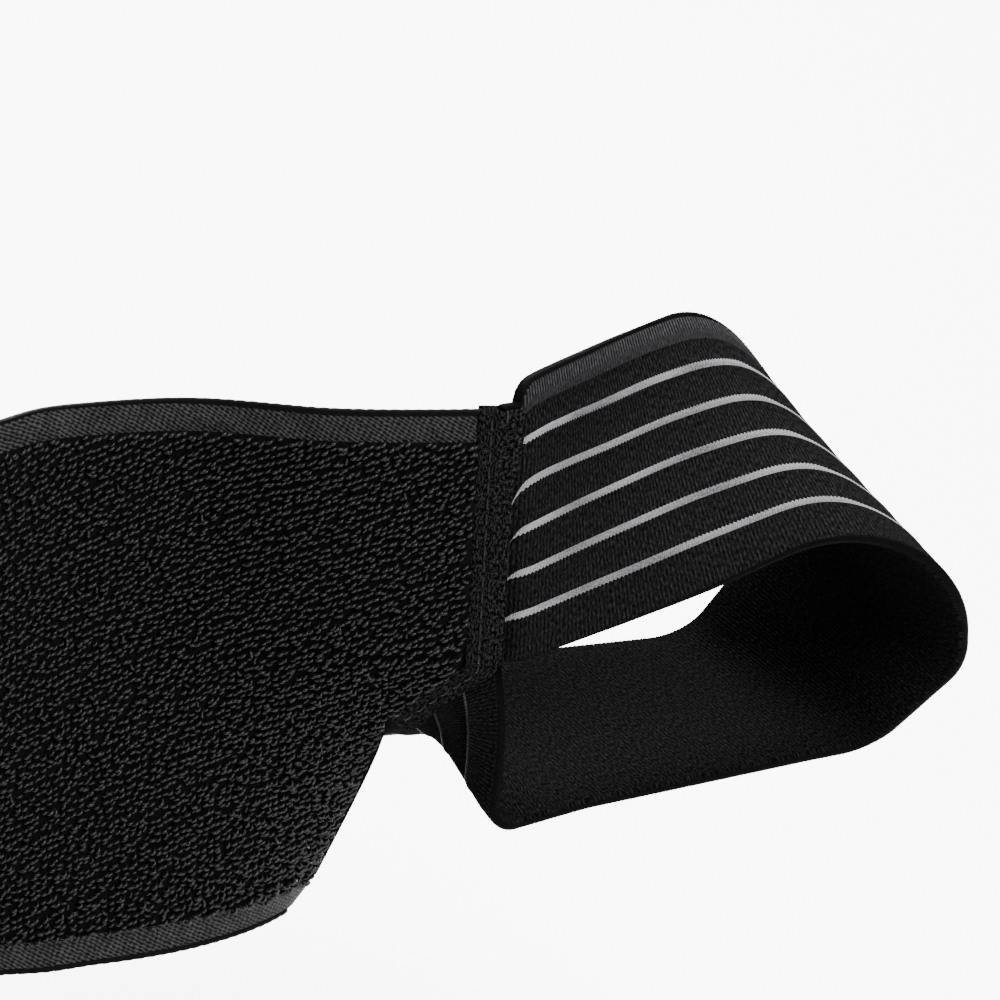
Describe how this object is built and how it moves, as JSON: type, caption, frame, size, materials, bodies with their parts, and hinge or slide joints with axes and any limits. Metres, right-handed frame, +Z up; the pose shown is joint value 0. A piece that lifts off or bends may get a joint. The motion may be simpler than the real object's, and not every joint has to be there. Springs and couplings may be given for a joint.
{
  "type": "ankle wrap",
  "caption": "Ankle wrap with a striped elastic loop for the foot, sewn to a broad loop-pile panel that winds round the ankle and closes with a hook patch.",
  "frame": {"origin": "middle of the space inside the foot loop, where the foot sits", "axes": "+X along the panel from its free end towards the loop, +Y away from the pile face, +Z up as worn"},
  "size_m": [0.3768, 0.0912, 0.1034],
  "materials": {
    "elastic": "ribbed knitted elastic, black with woven silver-grey stripes",
    "pile": "black loop pile with flat woven selvages",
    "binding": "flat dark stitched tape",
    "hook": "black hook tape"
  },
  "bodies": {
    "root": {"foot_loop": "elastic", "wrap_panel": "pile", "seam_strip": "binding", "hook_patch": "hook"}
  },
  "joints": []
}
